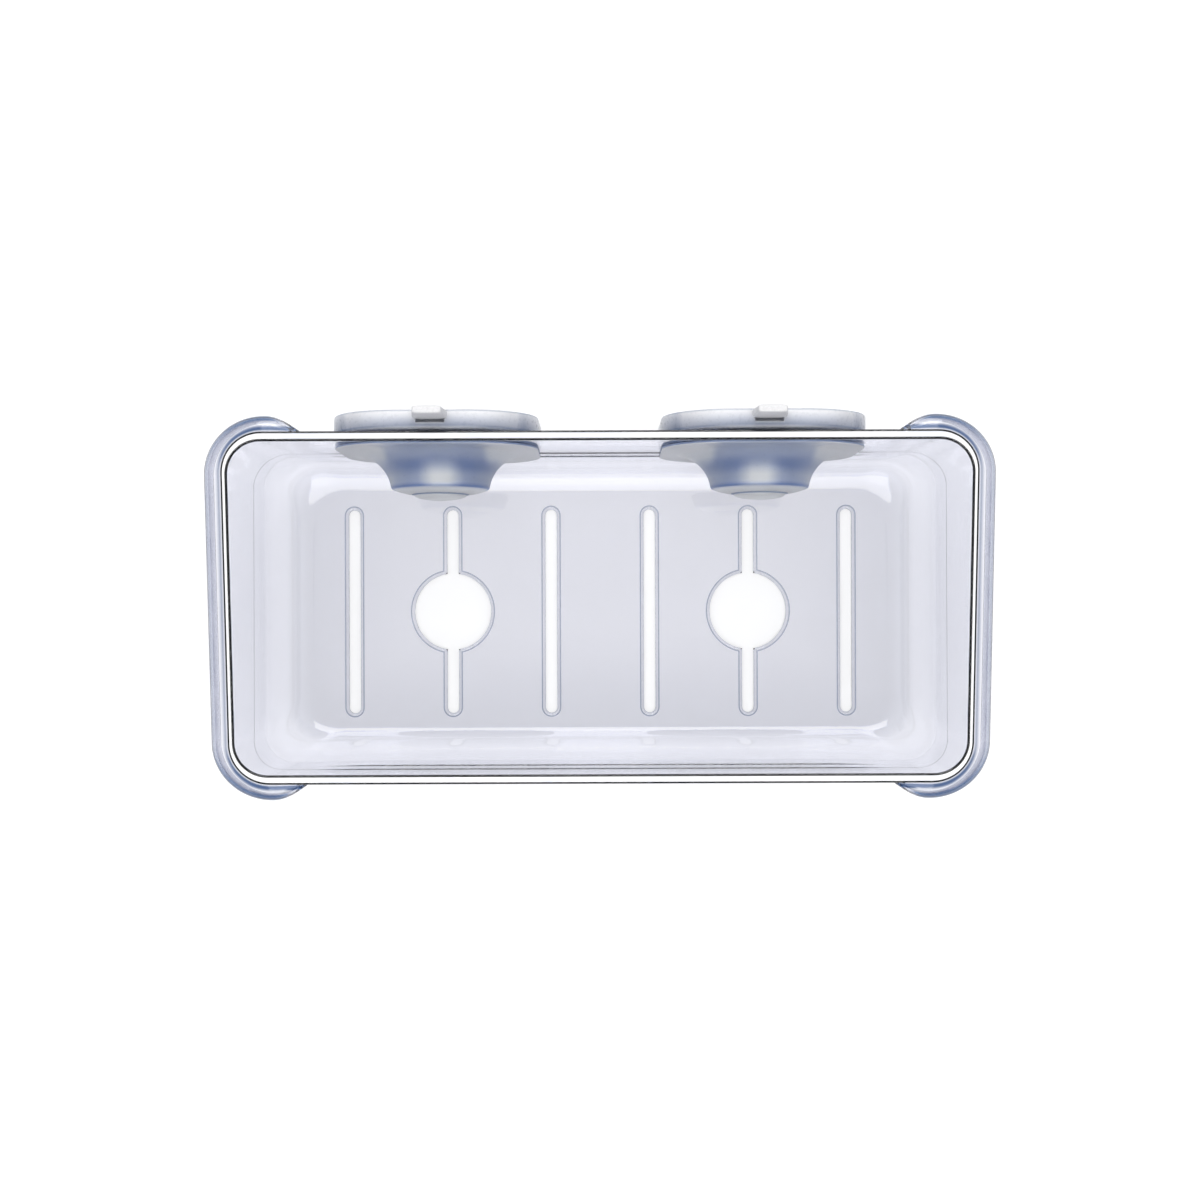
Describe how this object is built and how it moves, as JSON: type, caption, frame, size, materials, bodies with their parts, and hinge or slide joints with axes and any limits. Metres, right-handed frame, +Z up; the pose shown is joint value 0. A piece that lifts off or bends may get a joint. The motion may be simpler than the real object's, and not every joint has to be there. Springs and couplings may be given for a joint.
{
  "type": "suction basket",
  "caption": "Clear wall basket with slotted floor and rolled end lips, held by push-button suction units with release tabs.",
  "frame": {"origin": "middle of the bounding box's underside, on the surface that the basket stands on", "axes": "+Z up, +Y to the wall that the suction pads meet, +X along the basket to the right as seen from its front"},
  "size_m": [0.269, 0.133, 0.0957],
  "materials": {
    "clear_basket": "clear, polished",
    "soft_pad": "soft, translucent",
    "frosted_plate": "frosted",
    "gasket": "soft",
    "frosted_cover": "frosted",
    "frosted_button": "frosted",
    "white_plastic": "satin",
    "spring_steel": "drawn wire"
  },
  "bodies": {
    "basket_body": {"basket": "clear_basket", "suction_pad_left": "soft_pad", "backing_plate_left": "frosted_plate", "wall_gasket_left": "gasket", "ring_nut_left": "frosted_plate", "bell_cover_left": "frosted_cover", "return_spring_left": "spring_steel", "suction_pad_right": "soft_pad", "backing_plate_right": "frosted_plate", "wall_gasket_right": "gasket", "ring_nut_right": "frosted_plate", "bell_cover_right": "frosted_cover", "return_spring_right": "spring_steel"},
    "plunger_left": {"push_button_left": "frosted_button", "plunger_stem_left": "white_plastic", "stem_clip_left": "spring_steel"},
    "plunger_right": {"push_button_right": "frosted_button", "plunger_stem_right": "white_plastic", "stem_clip_right": "spring_steel"},
    "tab_left": {"release_tab_left": "white_plastic"},
    "tab_right": {"release_tab_right": "white_plastic"}
  },
  "joints": [
    {"name": "button_left_press", "type": "slide", "parent": "basket_body", "child": "plunger_left", "axis": [0, 1, 0], "range_m": [0, 0.0025], "stiffness_N_per_m": 250, "springref_m": -0.006, "deforming": ["return_spring_left", "suction_pad_left"]},
    {"name": "button_right_press", "type": "slide", "parent": "basket_body", "child": "plunger_right", "axis": [0, 1, 0], "range_m": [0, 0.0025], "stiffness_N_per_m": 250, "springref_m": -0.006, "deforming": ["return_spring_right", "suction_pad_right"]},
    {"name": "release_tab_left_pull", "type": "hinge", "parent": "basket_body", "child": "tab_left", "pos_m": [-0.05715, 0.0642, 0.0829], "axis": [1, 0, 0], "range_deg": [0, 25], "stiffness_Nm_per_rad": 0.004, "springref_deg": -5.73, "deforming": ["suction_pad_left"]},
    {"name": "release_tab_right_pull", "type": "hinge", "parent": "basket_body", "child": "tab_right", "pos_m": [0.05715, 0.0642, 0.0829], "axis": [1, 0, 0], "range_deg": [0, 25], "stiffness_Nm_per_rad": 0.004, "springref_deg": -5.73, "deforming": ["suction_pad_right"]}
  ]
}
